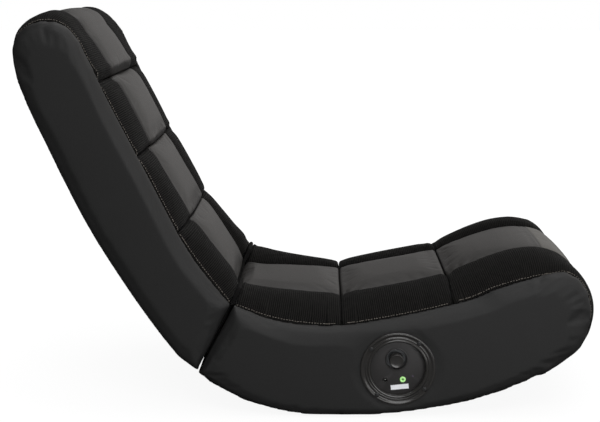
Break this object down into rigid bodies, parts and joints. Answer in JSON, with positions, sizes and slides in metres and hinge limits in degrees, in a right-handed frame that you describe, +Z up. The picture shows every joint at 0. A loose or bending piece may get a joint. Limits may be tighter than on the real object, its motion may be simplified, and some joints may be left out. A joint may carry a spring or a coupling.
{
  "type": "gaming rocker chair",
  "caption": "Low padded floor rocker with no feet, a curved underside, a backrest that folds forward and a round control panel in one side.",
  "frame": {"origin": "middle of the flat strip of the underside that rests on the floor, in the centre plane", "axes": "+X the way the sitter faces, +Y the sitter's left, +Z up"},
  "size_m": [0.8807, 0.4343, 0.61],
  "materials": {
    "vinyl_grey": "satin grey-brown vinyl over foam",
    "mesh_black": "matte ribbed spacer mesh over foam",
    "vinyl_black": "satin black vinyl over thin foam",
    "liner_black": "matte black lining cloth",
    "plywood": "raw plywood",
    "plastic_black": "satin black moulded plastic",
    "plastic_satin": "fine-grained black moulded plastic",
    "jack_green": "lime green socket ring",
    "lamp_grey": "clear lamp, off",
    "steel_black": "black coated steel",
    "steel_bright": "zinc plated steel",
    "cast_grey": "cast aluminium case"
  },
  "bodies": {
    "seat": {"seat_pad_rear": "vinyl_grey", "seat_pad_middle": "vinyl_grey", "seat_pad_front": "vinyl_grey", "seat_bolster_rear_right": "mesh_black", "seat_bolster_rear_left": "mesh_black", "seat_bolster_middle_right": "mesh_black", "seat_bolster_middle_left": "mesh_black", "seat_bolster_front_right": "mesh_black", "seat_bolster_front_left": "mesh_black", "seat_side_cover_right": "vinyl_black", "seat_side_cover_left": "vinyl_black", "underside_panel": "liner_black", "seat_side_board_right": "plywood", "seat_side_board_left": "plywood", "seat_deck": "plywood", "seat_rear_rail": "plywood", "seat_front_rail": "plywood", "control_bezel": "plastic_black", "dc_power_jack": "plastic_black", "control_plate": "plastic_satin", "line_in_jack": "jack_green", "status_led": "lamp_grey", "hinge_seat_leaf_right": "steel_black", "hinge_seat_leaf_left": "steel_black", "volume_potentiometer": "steel_black", "hinge_pin_right": "steel_bright", "hinge_pin_left": "steel_bright", "bezel_screw_1": "steel_bright", "bezel_screw_2": "steel_bright", "bezel_screw_3": "steel_bright", "bezel_screw_4": "steel_bright", "amplifier_box": "cast_grey"},
    "backrest": {"back_side_board_right": "plywood", "back_side_board_left": "plywood", "back_side_cover_right": "vinyl_black", "back_side_cover_left": "vinyl_black", "hinge_back_leaf_right": "steel_black", "hinge_back_leaf_left": "steel_black", "speaker_right": "steel_black", "speaker_left": "steel_black", "back_pad_lower": "vinyl_grey", "back_pad_middle": "vinyl_grey", "back_pad_upper": "vinyl_grey", "headrest_pad": "vinyl_grey", "back_bolster_lower_right": "mesh_black", "back_bolster_lower_left": "mesh_black", "back_bolster_middle_right": "mesh_black", "back_bolster_middle_left": "mesh_black", "back_bolster_upper_right": "mesh_black", "back_bolster_upper_left": "mesh_black", "back_bolster_head_right": "mesh_black", "back_bolster_head_left": "mesh_black", "back_rear_panel": "liner_black", "back_front_board": "plywood", "head_former": "plywood", "back_bottom_rail": "plywood", "back_middle_rail": "plywood"},
    "volume_control": {"volume_knob": "plastic_black", "volume_shaft": "steel_bright"}
  },
  "joints": [
    {"name": "fold_hinge", "type": "hinge", "parent": "seat", "child": "backrest", "pos_m": [-0.147, 0, 0.18793], "axis": [0, 1, 0], "range_deg": [0, 110]},
    {"name": "volume_turn", "type": "hinge", "parent": "seat", "child": "volume_control", "pos_m": [0.092, -0.215, 0.0905], "axis": [0, 1, 0], "range_deg": [0, 300]}
  ]
}
